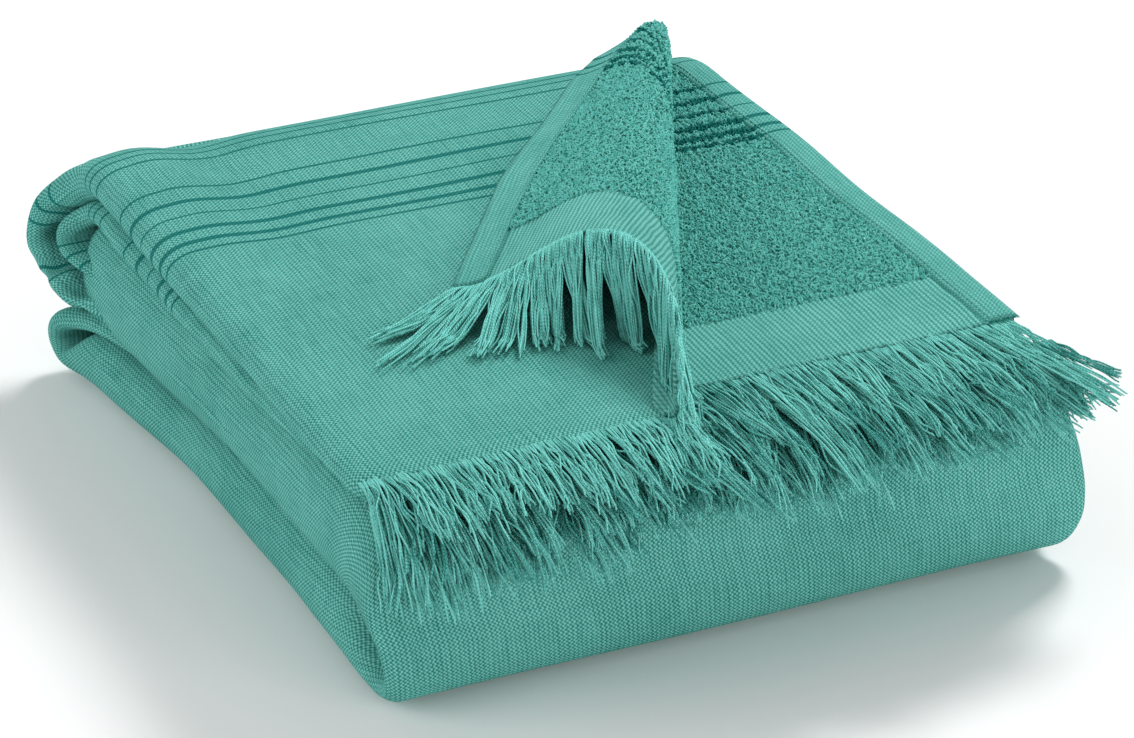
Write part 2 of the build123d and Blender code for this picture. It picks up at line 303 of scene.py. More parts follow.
def looped(name):
    """The terry pile: each loop has its own tone, and loops in a stripe are dark."""
    graph = Graph(name, roughness=0.95)
    u, v, share = graph.cloth()
    fuzz = graph.noise(graph.times(u, 3.0), graph.times(v, 3.0), share, detail=3.0)
    light = graph.plus(graph.times(share, 0.7), graph.times(fuzz, 0.5))
    tone = graph.mix(graph.between(light, 0.1, 0.9), TERRY_DARK, TERRY_LIGHT)
    mask = stripe_mask(graph, v, 1.6)
    tone = graph.mix(graph.times(mask, 0.92), tone, STRIPE)
    graph.bump(fuzz, 0.0002, 0.5)
    return graph.finish(tone)


def twisted(name, turn=2.2):
    """Two-ply yarn: diagonal grooves along the strand with painted shade in them, each strand with its
    own tone.
    """
    graph = Graph(name, roughness=0.85, specular=0.12)
    around, along, share = graph.cloth()
    phase = graph.plus(graph.times(around, 2 * pi),
                       graph.times(along, 2 * pi / turn))
    # Painted shade in the grooves of the twist, painted highlight on the plies between them.
    groove = graph.math("ABSOLUTE", graph.math("SINE", phase))
    fuzz = graph.noise(graph.times(along, 1.7), share, around, detail=3.0)
    light = graph.plus(graph.times(groove, 0.45), graph.times(share, 0.55))
    light = graph.sway(light, fuzz, 0.6)
    tone = graph.mix(graph.between(light, 0.0, 1.0), YARN_SHADE, YARN_HIGHLIGHT)
    graph.bump(groove, 0.0002, 0.8)
    return graph.finish(tone)


FLAT = woven("flat_weave", stripes=True)
FLAT_PLAIN = woven("flat_weave_plain")
RIBBED = woven("ribbed_border", stripes=True, rib=1.8, rib_depth=0.6, dots=0.4)
HEM = woven("hem_weave", stripes=True, dots=0.5)
TERRY = looped("terry_loops")
YARN = twisted("fringe_yarn")
THREAD_YARN = twisted("sewing_thread", turn=0.8)


# ---- meshes ----
def add_mesh(name, points, faces, material, cloth):
    """A mesh object. faces is a list of index arrays, one per number of corners."""
    sizes = np.concatenate([np.full(len(part), part.shape[1]) for part in faces])
    corners = np.concatenate([part.ravel() for part in faces])
    mesh = bpy.data.meshes.new(name)
    mesh.vertices.add(len(points))
    mesh.vertices.foreach_set("co", to_row(points).astype(np.float32).ravel())
    mesh.loops.add(len(corners))
    mesh.loops.foreach_set("vertex_index", corners.astype(np.int32))
    mesh.polygons.add(len(sizes))
    starts = np.concatenate([[0], np.cumsum(sizes)[:-1]])
    mesh.polygons.foreach_set("loop_start", starts.astype(np.int32))
    mesh.update(calc_edges=True)
    mesh.shade_smooth()
    coordinates = mesh.attributes.new("cloth", "FLOAT_VECTOR", "POINT")
    coordinates.data.foreach_set("vector", np.asarray(cloth, np.float32).ravel())
    piece = bpy.data.objects.new(name, mesh)
    bpy.context.scene.collection.objects.link(piece)
    mesh.materials.append(material)
    return piece


def grid_normals(grid, outward):
    """Unit normals of a grid of points; outward is 1 or -1."""
    rows = np.gradient(grid, axis=0)
    columns = np.gradient(grid, axis=1)
    return unit(np.cross(rows, columns)) * outward


def cloth_sheet(name, grid, v, material, thickness, outward, u=None):
    """A sheet of cloth with rounded rims. grid is its outer side; v is each row's place along it."""
    rows, columns = grid.shape[:2]
    normals = grid_normals(grid, outward)
    middle = grid - normals * thickness / 2
    inner = grid - normals * thickness
    index = np.arange(rows * columns).reshape(rows, columns)
    rim = np.concatenate([index[0, :-1], index[:-1, -1], index[-1, :0:-1], index[:0:-1, 0]])
    rim_points = middle.reshape(-1, 3)[rim]
    along = np.roll(rim_points, -1, axis=0) - np.roll(rim_points, 1, axis=0)
    out = unit(np.cross(normals.reshape(-1, 3)[rim], along)) * -outward
    count = rows * columns
    side = 2 * count + np.arange(len(rim))
    points = np.concatenate([grid.reshape(-1, 3), inner.reshape(-1, 3), rim_points + out * thickness / 2])
    quads = np.stack([index[:-1, :-1], index[1:, :-1], index[1:, 1:], index[:-1, 1:]], -1).reshape(-1, 4)
    nxt, side_next = np.roll(rim, -1), np.roll(side, -1)
    outer_rim = np.stack([rim, nxt, side_next, side], -1)
    inner_rim = np.stack([side, side_next, nxt + count, rim + count], -1)
    faces = np.concatenate([quads, (quads + count)[:, ::-1], outer_rim, inner_rim])
    if outward < 0:
        faces = faces[:, ::-1]
    if u is None:
        u = cloth_u(grid, columns // 2)
    v = np.broadcast_to(np.reshape(v, (rows, -1)), (rows, columns))
    flat = np.stack([u, v, np.zeros((rows, columns))], -1).reshape(-1, 3)
    piece = add_mesh(name, points, [faces], material, np.concatenate([flat, flat, flat[rim]]))
    return piece


def spline(stations, spacing):
    """A smooth curve through stations, measured by its first two columns. Returns length and rows."""
    stations = np.array(stations, float)
    chord = np.concatenate([[0], np.cumsum(np.linalg.norm(np.diff(stations[:, :2], axis=0), axis=1))])
    gaps = np.diff(chord)[:, None]
    slopes = np.diff(stations, axis=0) / gaps
    inner = (slopes[:-1] * gaps[1:] + slopes[1:] * gaps[:-1]) / (gaps[:-1] + gaps[1:])
    tangents = np.concatenate([slopes[:1], inner, slopes[-1:]])
    places = np.linspace(0, chord[-1], int(chord[-1] / spacing) + 2)
    k = np.clip(np.searchsorted(chord, places, side="right") - 1, 0, len(gaps) - 1)
    t = ((places - chord[k]) / gaps[k, 0])[:, None]
    rows = (stations[k] * (1 + 2 * t) * (1 - t) ** 2 + tangents[k] * gaps[k] * t * (1 - t) ** 2
            + stations[k + 1] * t ** 2 * (3 - 2 * t) + tangents[k + 1] * gaps[k] * t ** 2 * (t - 1))
    steps = np.linalg.norm(np.diff(rows[:, :2], axis=0), axis=1)
    return np.concatenate([[0], np.cumsum(steps)]), rows


def swept(x, path):
    """A grid of points: each row has its own x values, at one y and z of the path."""
    y, z = path[:, :2].T
    return np.stack([x, np.broadcast_to(y[:, None], x.shape), np.broadcast_to(z[:, None], x.shape)], -1)


def folds(u, v, seed, size, wave_u, wave_v, count=14):
    """Gentle unevenness: a sum of waves of about those lengths, mostly within size, in mm."""
    random = np.random.default_rng(seed)
    total = np.zeros(np.broadcast(u, v).shape)
    for _ in range(count):
        across, along = random.uniform(0.6, 1.6), random.uniform(0.6, 1.6)
        phase = random.uniform(0, 2 * pi)
        lean = random.choice((-1, 1))
        total += np.sin(2 * pi * (u * across / wave_u + lean * v * along / wave_v) + phase)
    return size * total / count ** 0.5 / 1.5


TUCK = 24.0  # how far a strip runs on inside its curled edge
TUCK_STEPS = 5
BEAD_STEPS = 22
LEFT_COLUMNS = TUCK_STEPS + BEAD_STEPS
FLAT_STEP = 2.4


def strip_grid(stations, spacing):
    """Points of a strip that follows a path and curls in at its two side edges.

    Each station is (y, z) on the outer side, (y, z) where its left bead ends, then the left
    edge's x and bead depth, and the right edge's x, bead depth and bead height.
    """
    length, rows = spline(stations, spacing)
    y, z, inner_y, inner_z, left, left_depth, right, right_depth, right_height = rows.T
    outer = np.stack([y, z], -1)
    inner = np.stack([inner_y, inner_z], -1)
    turn = np.linspace(0, pi, BEAD_STEPS)
    near = 1 - np.sin(turn)  # share of the depth in from the edge
    down = (1 - np.cos(turn)) / 2  # share of the way to the inner side
    tuck = np.linspace(1, 0, TUCK_STEPS + 1)[:-1] * TUCK
    count = int((right.mean() - left.mean()) / FLAT_STEP)
    across = np.linspace(0, 1, count)[1:-1]
    left_x = left[:, None] + left_depth[:, None] * near[::-1]
    left_in = np.broadcast_to(down[::-1], left_x.shape)
    tuck_x = (left + left_depth)[:, None] + tuck
    flat_x = (left + left_depth)[:, None] * (1 - across) + (right - right_depth)[:, None] * across
    right_x = right[:, None] - right_depth[:, None] * near
    right_in = np.broadcast_to(down, right_x.shape)
    tuck_right = (right - right_depth)[:, None] - tuck[::-1]
    inward = unit(inner - outer) * right_height[:, None]
    x = np.concatenate([tuck_x, left_x, flat_x, right_x, tuck_right], axis=1)
    in_left = np.concatenate([np.ones_like(tuck_x), left_in, np.zeros_like(flat_x)], axis=1)
    in_right = np.concatenate([right_in, np.ones_like(tuck_right)], axis=1)
    middle = outer[:, None] + (inner - outer)[:, None] * in_left[..., None]
    end = outer[:, None] + inward[:, None] * in_right[..., None]
    place = np.concatenate([middle, end], axis=1)
    return length, np.concatenate([x[..., None], place], axis=-1), in_left


def displaced(grid, outward, amount):
    return grid + grid_normals(grid, outward) * amount[..., None]


def cloth_u(grid, column):
    """Distance across the cloth from one of its columns."""
    step = np.linalg.norm(np.diff(grid, axis=1), axis=-1)
    u = np.concatenate([np.zeros((len(grid), 1)), np.cumsum(step, axis=1)], axis=1)
    return u - u[:, column][:, None]


# ---- the outer ply of the two panels below: one sheet round the front and the underside ----
lower_stations = (
    # y, z outside; y, z where the left bead ends; left x, depth; right x, depth, height
    (250, 60.0, 250, 21.0, -128, 11, 118, 3, 5),
    (215, 59.5, 215, 21.0, -127, 12, 118, 3, 5),
    (180, 59.5, 180, 22.5, -125, 12, 118, 3, 5),
    (140, 61.0, 140, 27.0, -124, 13, 118, 3, 5),
    (100, 64.0, 100, 30.0, -124, 13, 118, 3, 5),
    (60, 68.0, 60, 31.0, -124.5, 13, 117, 3, 5),
    (38, 70.5, 38, 31.5, -124.5, 12, 116, 3, 5),
    (20, 69.5, 26, 32.5, -124.5, 11, 115, 3, 5),
    (8, 64.0, 18, 33.5, -124.5, 10, 116, 3, 5),
    (2, 56.0, 12, 34.5, -124.5, 8, 118, 3, 5),
    (0, 46.0, 8.5, 35.0, -124, 6, 121, 3, 5),
    (0, 36.0, 8.0, 32.0, -122, 5, 123.5, 3, 5),
    (0, 26.0, 8.0, 25.0, -119, 4.5, 125, 3, 5),
    (0.5, 15.0, 8.0, 16.0, -117, 4, 124.5, 3.5, 5),
    (4, 6.0, 10.5, 11.0, -116.5, 5, 121.5, 4, 5),
    (12, 1.6, 16.0, 10.0, -116.5, 6, 117, 4, 5),
    (24, 0.3, 25.0, 15.0, -118, 9, 115, 4, 5),
    (38, 0.0, 38.0, 24.0, -119.5, 12, 115, 4, 5),
    (55, 0.0, 55.0, 29.0, -120.5, 13, 116, 4, 5),
    (100, 0.0, 100, 29.5, -121, 14, 117, 4, 5),
    (140, 0.0, 140, 26.5, -122, 14, 118, 4, 5),
    (180, 0.0, 180, 22.0, -124, 12, 118, 4, 5),
    (220, 0.0, 220, 20.5, -129, 11, 118, 4, 5),
    (246, 0.3, 246, 20.0, -133, 10, 118, 4, 5),
    (260, 3.0, 256, 11.0, -136, 7, 118, 4, 4),
    (267, 12.0, 260, 13.0, -137, 5, 118, 4, 4),
    (262, 23.0, 257, 17.5, -137, 6, 118, 4, 4),
    (248, 27.8, 247, 20.5, -132, 8, 118, 4, 4),
    (205, 26.0, 205, 21.0, -118, 8, 116, 4, 4),
)
lower_v, lower_grid, lower_in = strip_grid(lower_stations, spacing=2.2)
lower_u = cloth_u(lower_grid, LEFT_COLUMNS)
side_share = np.pad(lower_in, ((0, 0), (0, lower_grid.shape[1] - lower_in.shape[1])))
on_side = np.sin(pi * np.clip(side_share, 0, 1))
middle_part = np.clip(1 - np.abs(lower_v - 105) / 95, 0, 1)[:, None] ** 0.5
wrinkle = folds(lower_u, lower_v[:, None], 3, 0.55, 7.5, 190.0)
lower_bump = on_side * (0.25 + middle_part) * wrinkle
lower_bump = lower_bump - 1.4 * middle_part * bell(side_share, 0.5, 0.13)
lower_bump = lower_bump + folds(lower_u, lower_v[:, None], 4, 0.5, 150.0, 120.0) * 0.8
drawn_in = np.clip(1 - side_share * 2.6, 0, 1) * (side_share > 0) * on_side
lower_grid[..., 0] += 5.0 * middle_part * drawn_in
lower_grid = displaced(lower_grid, 1, lower_bump)
lower_wrap = cloth_sheet("lower_wrap", lower_grid, lower_v, FLAT_PLAIN, 1.4, 1, lower_u)
belongs(lower_wrap, "flat_weave", "folded_towel", "front_fold_outer", "mid_length_fold",
        "bottom_panel_lower", "bottom_panel_upper", "middle_panel_upper", "middle_panel_lower")

# ---- the outer ply of the top panel: one sheet from the fringe over the back ----
BACK_FOLD = 262.0  # how far back the cloth begins to bend down
BACK_BEND = bend("folded_towel", "top_panel", BACK_FOLD, 57.0, 68.0)
# The turned-back corner is a cone of cloth, and all its straight lines meet at the cone point.
CONE_POINT = (128.5, 326.0)
CREASE_ANGLE = radians(24.0)  # from the towel's long side to the crease
SECTION_AT = 290.0  # distance from the cone point at which a section has full size
LIFT_OFF = 6.0  # where the cloth leaves the stack, left of the crease
RIGHT_BEAD = (0.3, 3.2)  # depth and height of a right edge that other cloth hides


def crease_x(y, across=0.0):
    """Where a straight line of the turned-back corner's cone crosses the depth y."""
    return CONE_POINT[0] - (CONE_POINT[1] - y) * np.tan(CREASE_ANGLE + np.arctan2(across, SECTION_AT))


def face_station(y, z, inner_y, inner_z, left, depth, right=None):
    """A station of the top sheet; its right edge is where the cloth lifts off to the roll."""
    if right is None:
        right = float(crease_x(y, LIFT_OFF))
    return (y, z, inner_y, inner_z, left, depth, right, *RIGHT_BEAD)


face_stations = (
    face_station(FRINGE_START, 83.0, 5, 74.5, -121, 9),
    face_station(9, 83.9, 9, 74.8, -123.5, 10),
    face_station(20, 84.2, 20, 74.5, -124.5, 10),
    face_station(60, 84.2, 60, 72.5, -124.5, 10),
    face_station(100, 84.2, 100, 71.3, -124.5, 10),
    face_station(160, 84.3, 160, 70.5, -125, 10),
    face_station(225, 84.4, 225, 70.3, -125.5, 10),
    face_station(245, 83.0, 243, 70.0, -125.5, 10),
    face_station(259, 79.0, 252, 67.5, -126, 9),
    face_station(270, 70.5, 261, 62.0, -132, 7, 104),
    face_station(276, 60.0, 266, 57.0, -138, 6, 104),
    face_station(277, 49.0, 268, 49.0, -140, 6, 106),
    face_station(271, 38.0, 262, 42.5, -139, 6, 110),
    face_station(259, 31.5, 254, 38.0, -137, 7, 114),
    face_station(246, 29.3, 244, 34.0, -130, 7, 116),
    face_station(205, 29.0, 205, 32.0, -106, 7, 118),
)
face_v, face_grid, _ = strip_grid(face_stations, spacing=2.0)
face_v = face_v + FRINGE_START
face_u = cloth_u(face_grid, LEFT_COLUMNS)
face_x = face_grid[..., 0]
face_bump = folds(face_u, face_v[:, None], 11, 0.35, 130.0, 110.0)
# Towards the back the left edge swells, with a groove beside it, as far as the back fold.
rear = np.clip((face_v - 120) / 110, 0, 1)[:, None] * (face_v[:, None] < BACK_FOLD)
face_bump = face_bump + 1.7 * rear * (bell(face_x, -106, 11) - 0.9 * bell(face_x, -84, 12))
# Round the back the left part puffs up in loose folds, which end before the cloth's hidden end.
puff_rows = np.clip((face_v - BACK_FOLD) / 30, 0, 1) * np.clip((face_v[-1] - face_v - 12) / 20, 0, 1)
puff = puff_rows[:, None] * np.clip((-70 - face_x) / 50, 0, 1)
face_bump = face_bump + puff * folds(face_u, face_v[:, None], 13, 3.4, 42.0, 26.0)
face_grid = displaced(face_grid, -1, face_bump)
top_face = cloth_sheet("top_face", face_grid, face_v, FLAT, 1.4, -1, face_u)
belongs(top_face, "flat_weave", BACK_BEND,
        "face_layer", "face_weft_stripes", "left_edge_bead", "back_fold_outer")


# ---- plies inside the pack ----
TURN_STEPS = 8
TURN_FULLNESS = 0.8  # 1 turns in a half circle, and less is squarer


def u_turn(far_y, turn_y, low, high, centre_y, far_high=None):
    """A path that runs at height high, turns back at turn_y and runs on at height low.

    The turn begins at centre_y. far_high is the height at its far end, if it isn't high.
    """
    facing = 1 if turn_y > centre_y else -1
    far_high = high if far_high is None else far_high
    middle, half = (low + high) / 2, (high - low) / 2
    path = [(far_y, far_high), ((far_y + centre_y) / 2, (far_high + high) / 2)]
    for step in range(TURN_STEPS + 1):
        angle = pi / 2 - step * pi / TURN_STEPS
        rise = np.sign(sin(angle)) * abs(sin(angle)) ** TURN_FULLNESS
        path.append((centre_y + facing * abs(turn_y - centre_y) * cos(angle) ** TURN_FULLNESS,
                     middle + half * rise))
    path += [((far_y + centre_y) / 2, low), (far_y, low)]
    return path


def ply(name, path, left, right, material, seed, outward, start_v=0.0):
    """One ply of cloth that follows a path, with slightly wandering side edges."""
    length, rows = spline(path, 3.0)
    wander = folds(length, 0 * length, seed, 1.0, 90.0, 90.0, 5)
    share = np.linspace(0, 1, 46)
    x = (left + wander)[:, None] * (1 - share) + (right + wander * 0.7)[:, None] * share
    return cloth_sheet(name, swept(x, rows), length + start_v, material, PLY, outward)


# Depth inside the outer ply, left edge and right edge.
FRONT_PLIES = ((6.4, -113, 122.0), (10.0, -110, 119.0), (13.6, -112, 123.0), (17.2, -108, 120.0))
END_PLIES = ((3.6, -112, 121.0), (7.2, -109, 117.0))
for number, (depth, left, right) in enumerate(FRONT_PLIES, start=1):
    path = u_turn(246, depth, depth, 69 - depth, 30 + depth / 2, far_high=60 - depth)
    piece = ply(f"front_ply_{number}", path, left, right, FLAT_PLAIN, 20 + number, 1)
    stands_for = ["front_fold_inner"] if number == 1 else []
    belongs(piece, "flat_weave", "folded_towel", *stands_for)
for number, (depth, left, right) in enumerate(END_PLIES, start=1):
    path = u_turn(60, 267 - depth, depth, 27.6 - depth, 250)
    piece = ply(f"end_ply_{number}", path, left, right, FLAT_PLAIN, 30 + number, -1)
    belongs(piece, "flat_weave", "folded_towel")

BACK_PLIES = (
    # depth inside the top sheet, front end, height of its outer side, left, right, stands for
    (6.0, 11.0, 77.8, -112, 101.0, ("under_plies", "back_fold_inner")),
    (9.4, 11.5, 74.4, -116, 104.0, ()),
    (12.8, 13.0, 71.0, -110, 103.0, ()),
    (16.2, 13.0, 67.6, -113, 107.0, ("lower_end_hems",)),
)
for number, (depth, front, height, left, right, nodes) in enumerate(BACK_PLIES, start=1):
    path = u_turn(front, BACK - depth, 29.5 + depth, height, 250)
    path = path[:-1] + [(60, 29.5 + depth)]
    piece = ply(f"back_ply_{number}", path, left, right, FLAT, 40 + number, -1, start_v=front)
    belongs(piece, "flat_weave", BACK_BEND, *nodes)

# ---- the towel's lower end: the narrow second bead on the left ----
LOWER_END_START = 9
LOWER_END_RIGHT = 60  # its right edge lies hidden below the other plies
end_stations = (
    # y, z outside; y, z where the left bead ends; left x, depth
    (LOWER_END_START, 74.0, 9, 73.2, -119, 3),
    (40, 73.8, 40, 71.0, -121, 4),
    (70, 73.0, 70, 67.0, -122, 5),
    (100, 71.6, 100, 63.5, -122.8, 6),
    (140, 70.9, 140, 61.0, -123.3, 7),
    (180, 70.4, 180, 59.5, -124, 8),
    (225, 70.0, 225, 59.5, -125, 8),
    (244, 69.2, 244, 59.5, -124.5, 7),
    (256, 65.0, 251, 58.5, -126, 6),
    (262, 57.0, 253, 55.5, -133, 5),
    (258, 47.5, 252, 52.0, -134, 5),
    (246, 42.5, 244, 49.0, -130, 6),
    (205, 42.0, 205, 47.0, -104, 6),
)
end_stations = [(*station, LOWER_END_RIGHT, *RIGHT_BEAD) for station in end_stations]
end_v, end_grid, _ = strip_grid(end_stations, spacing=2.0)
end_v = end_v + LOWER_END_START
end_u = cloth_u(end_grid, LEFT_COLUMNS)
end_grid = displaced(end_grid, -1, folds(end_u, end_v[:, None], 12, 0.3, 25.0, 70.0))
lower_end = cloth_sheet("lower_end", end_grid, end_v, FLAT, 1.4, -1, end_u)
belongs(lower_end, "flat_weave", bend("folded_towel", "top_panel", BACK_FOLD, 57.0, 66.0),
        "lower_end_plies")


# ---- the second layer: flat border, terry and hem ----
# Its path: it lies on the stack below the top sheet, and follows it over the back.
LAYER_PATH = (
    (TERRY_FRONT, 81.0),
    (TERRY_FRONT + 8, 81.3),
    (60, 81.4),
    (140, 81.4),
    (225, 81.3),
    (245, 79.8),
    (258, 75.6),
    (264.3, 68.5),
    (269.3, 59.0),
    (269.8, 49.5),
    (264.3, 40.5),
    (256, 34.8),
    (243, 32.8),
    (150, 32.5),
)
LAYER_LEFT = -116
LAYER_START = TERRY_FRONT - 8.0  # the second layer is skewed: its weft lies 8 mm further back
HEM_SKEW = 6.0  # how far its hem draws in from the front to the back
HEM_OVERLAP = 2.0  # how far a layer runs on below its hem
LAYER_THICKNESS = 1.8
HEM_THICKNESS = 3.0

layer_length, layer_rows = spline(LAYER_PATH, 2.2)
layer_v = layer_length + LAYER_START
hem_wander = folds(layer_length, 0 * layer_length, 51, 1.0, 120.0, 120.0, 4)
hem_outer = HEM_LINE + hem_wander - HEM_SKEW * np.clip(layer_rows[:, 0] / 250, 0, 1)
hem_inner = hem_outer - SEAM
share = np.linspace(0, 1, 90)
layer_x = LAYER_LEFT * (1 - share) + (hem_inner + HEM_OVERLAP)[:, None] * share
layer_grid = swept(layer_x, layer_rows)
layer_grid = displaced(layer_grid, -1, folds(layer_x, layer_v[:, None], 52, 0.3, 90.0, 90.0))
terry_layer = cloth_sheet("second_layer", layer_grid, layer_v, RIBBED, LAYER_THICKNESS, -1)
belongs(terry_layer, "flat_weave_inside", BACK_BEND, "terry_layer")

hem_share = np.linspace(0, 1, 12)
hem_x = hem_inner[:, None] * (1 - hem_share) + hem_outer[:, None] * hem_share
hem_lift = 1.7 * np.clip(np.sin(pi * hem_share), 0, 1) ** 0.35 - 0.2
hem_grid = displaced(swept(hem_x, layer_rows), -1, np.broadcast_to(hem_lift, hem_x.shape))
terry_hem = cloth_sheet("second_layer_hem", hem_grid, layer_v, HEM, HEM_THICKNESS, -1)
belongs(terry_hem, "hem_cloth", BACK_BEND, "terry_layer_hem")


# ---- the turned-back corner: a cone of cloth ----
# Its section at full size: the cloth lifts off the stack, turns up, rises as a wall, turns over
# the crown and slopes down to its free edge.
FOOT_RADIUS = 3.0
WALL = 12.0
CROWN_RADIUS = 17.0
SLOPE_LENGTH = 66.0
CROWN_CENTRE = LIFT_OFF - FOOT_RADIUS + CROWN_RADIUS
CROWN_HEIGHT = FOOT_RADIUS + WALL + CROWN_RADIUS
FREE_EDGE_RISE = 5.0
FOOT_HEIGHT = 84.1
POINT_HEIGHT = 87.0  # height of the cone point
# Lengths of cloth round the section, from where it lifts off
FOOT_LENGTH = FOOT_RADIUS * pi / 2
ROLL_LENGTH = FOOT_LENGTH + WALL
CROWN_LENGTH = CROWN_RADIUS * pi / 2
FREE_EDGE = ROLL_LENGTH + CROWN_LENGTH + SLOPE_LENGTH
HEM_EDGE = FREE_EDGE - SEAM
CREASE_DIR = np.array([-sin(CREASE_ANGLE), -cos(CREASE_ANGLE)])
ACROSS_DIR = np.array([-cos(CREASE_ANGLE), sin(CREASE_ANGLE)])
# How far the free edge lies from the crease, at distances from the cone point
REACH = ((70, 40), (84, 54), (100, 76), (120, 84), (145, 85), (200, 86), (250, 79), (290, 76), (340, 78))


def cone_place(distance, across, rise):
    """A point of the cone: distance along the crease, section coordinates at full size."""
    scale = distance / SECTION_AT
    x = CONE_POINT[0] + CREASE_DIR[0] * distance + ACROSS_DIR[0] * across * scale
    y = CONE_POINT[1] + CREASE_DIR[1] * distance + ACROSS_DIR[1] * across * scale
    z = POINT_HEIGHT + (FOOT_HEIGHT - POINT_HEIGHT + rise) * scale
    return np.stack([x, y, z], -1)


def section(around, distance):
    """The cone's section at full size: across and rise, around mm from where the cloth lifts off."""
    around = np.asarray(around, float)
    distance = np.asarray(distance, float)
    reach = np.interp(distance, *zip(*REACH))
    foot = np.clip(around / FOOT_LENGTH, 0, 1) * pi / 2
    wall = np.clip(around - FOOT_LENGTH, 0, WALL)
    crown = np.clip((around - ROLL_LENGTH) / CROWN_LENGTH, 0, 1) * pi / 2
    across = LIFT_OFF - np.minimum(around, 0) - FOOT_RADIUS * np.sin(foot)
    across = across + CROWN_RADIUS * (1 - np.cos(crown))
    rise = FOOT_RADIUS * (1 - np.cos(foot)) + wall + CROWN_RADIUS * np.sin(crown)
    # The slope is a cubic curve that leaves the crown level and then falls.
    t = np.clip((around - ROLL_LENGTH - CROWN_LENGTH) / SLOPE_LENGTH, 0, 1.3)
    curve_x = 3 * (1 - t) ** 2 * t * 0.38 + 3 * (1 - t) * t ** 2 * 0.62 + t ** 3
    curve_z = 3 * (1 - t) * t ** 2 * 0.80 + t ** 3
    return (across + (reach - CROWN_CENTRE) * curve_x,
            rise - (CROWN_HEIGHT - FREE_EDGE_RISE) * curve_z)


NEAR_END = 83.0  # how near to the cone point the corner's sheets begin
SCAN_START, SCAN_END = 80.0, 360.0

# The fringed edge of the corner lies in one sloping plane.
EDGE_LOW = np.array([-22.4, FRINGE_START, STACK_TOP])
EDGE_CROWN = np.array([-13.0, 69.0, 116.0])
EDGE_CORNER = np.array([-53.0, 103.0, 88.0])
EDGE_NORMAL = np.cross(EDGE_CROWN - EDGE_LOW, EDGE_CORNER - EDGE_LOW)
EDGE_NORMAL = EDGE_NORMAL / np.linalg.norm(EDGE_NORMAL)


def edge_distance(around):
    """How far from the cone point the fringed edge crosses each straight line of the cone."""
    near = cone_place(SCAN_START, *section(around, SECTION_AT))
    far = cone_place(SCAN_END, *section(around, SECTION_AT))
    share = ((EDGE_LOW - near) @ EDGE_NORMAL) / ((far - near) @ EDGE_NORMAL)
    return SCAN_START + share * (SCAN_END - SCAN_START)


def cone_grid(around, true_width=False):
    """Grid of cone points: one column per place around, from near the cone point to the fringe.

    With true_width a column keeps its distance in mm from the free edge all the way.
    """
    end = edge_distance(around)
    share = np.linspace(0, 1, 90)[:, None]
    distance = NEAR_END * (1 - share) + end * share
    around = np.broadcast_to(around, distance.shape)
    if true_width:
        around = FREE_EDGE - (FREE_EDGE - around) * SECTION_AT / distance
    grid = cone_place(distance, *section(around, distance))
    v = FRINGE_START + end - distance
    u = (around - FREE_EDGE) * distance / SECTION_AT
    return grid, v, u


def cone_sheet(name, around, material, thickness, lift=0.0, true_width=False):
    """A sheet on the cone, all with the same unevenness, so that they meet."""
    grid, v, u = cone_grid(around, true_width)
    grid = displaced(grid, -1, folds(u, v, 61, 0.5, 60.0, 80.0) + lift)
    return cloth_sheet(name, grid, v, material, thickness, -1, u), grid, v, u


ROLL_BEND = bend("top_panel", "corner", 0.0, 84.5, 100.0)
roll_around = np.linspace(-4.0, ROLL_LENGTH, 20)
flap_around = np.linspace(ROLL_LENGTH, HEM_EDGE + HEM_OVERLAP, 52)
hem_around = np.linspace(HEM_EDGE, FREE_EDGE, 9)
crease_roll, roll_grid, roll_v, roll_u = cone_sheet("roll_cloth", roll_around, RIBBED, LAYER_THICKNESS)
belongs(crease_roll, "flat_weave_inside", ROLL_BEND, "crease_roll")
flap, flap_grid, flap_v, flap_u = cone_sheet("corner_cloth", flap_around, RIBBED, LAYER_THICKNESS)
belongs(flap, "flat_weave_inside", "corner", "turned_corner")
corner_hem, corner_hem_grid, *_ = cone_sheet(
    "corner_hem_cloth", hem_around, HEM, HEM_THICKNESS, lift=1.2, true_width=True)
belongs(corner_hem, "hem_cloth", "corner", "corner_hem")


# ---- terry loops ----
def tubes(name, strands, radii, material, shares, sides=5, caps=True):
    """Round strands. strands is count x points x 3 in mm; shares is each strand's own tone."""
    count, steps = strands.shape[:2]
    radii = np.broadcast_to(radii, (count, steps))
    along = unit(np.gradient(strands, axis=1))
    start = np.where(np.abs(along[:, :1, 2:]) < 0.9, [[[0.0, 0.0, 1.0]]], [[[1.0, 0.0, 0.0]]])
    side = unit(np.cross(along, np.broadcast_to(start, along.shape)))
    other = np.cross(along, side)
    turn = np.arange(sides) * 2 * pi / sides
    ring = side[:, :, None] * np.cos(turn)[:, None] + other[:, :, None] * np.sin(turn)[:, None]
    points = strands[:, :, None] + ring * radii[:, :, None, None]
    index = np.arange(count * steps * sides).reshape(count, steps, sides)
    nxt = np.roll(index, -1, axis=2)
    quads = np.stack([index[:, :-1], nxt[:, :-1], nxt[:, 1:], index[:, 1:]], -1).reshape(-1, 4)
    faces = [quads]
    if caps:
        faces += [index[:, -1], index[:, 0, ::-1]]
    length = np.concatenate([np.zeros((count, 1)), np.cumsum(
        np.linalg.norm(np.diff(strands, axis=1), axis=-1), axis=1)], axis=1)
    cloth = np.zeros((count, steps, sides, 3))
    cloth[..., 0] = np.arange(sides) / sides
    cloth[..., 1] = length[:, :, None]
    cloth[..., 2] = np.reshape(shares, (count, 1, 1))
    return add_mesh(name, points.reshape(-1, 3), faces, material, cloth.reshape(-1, 3))


LOOP_PITCH = 1.0
LOOP_RADIUS = 0.29
LOOP_STEPS = 7
LOOP_SIDES = 4


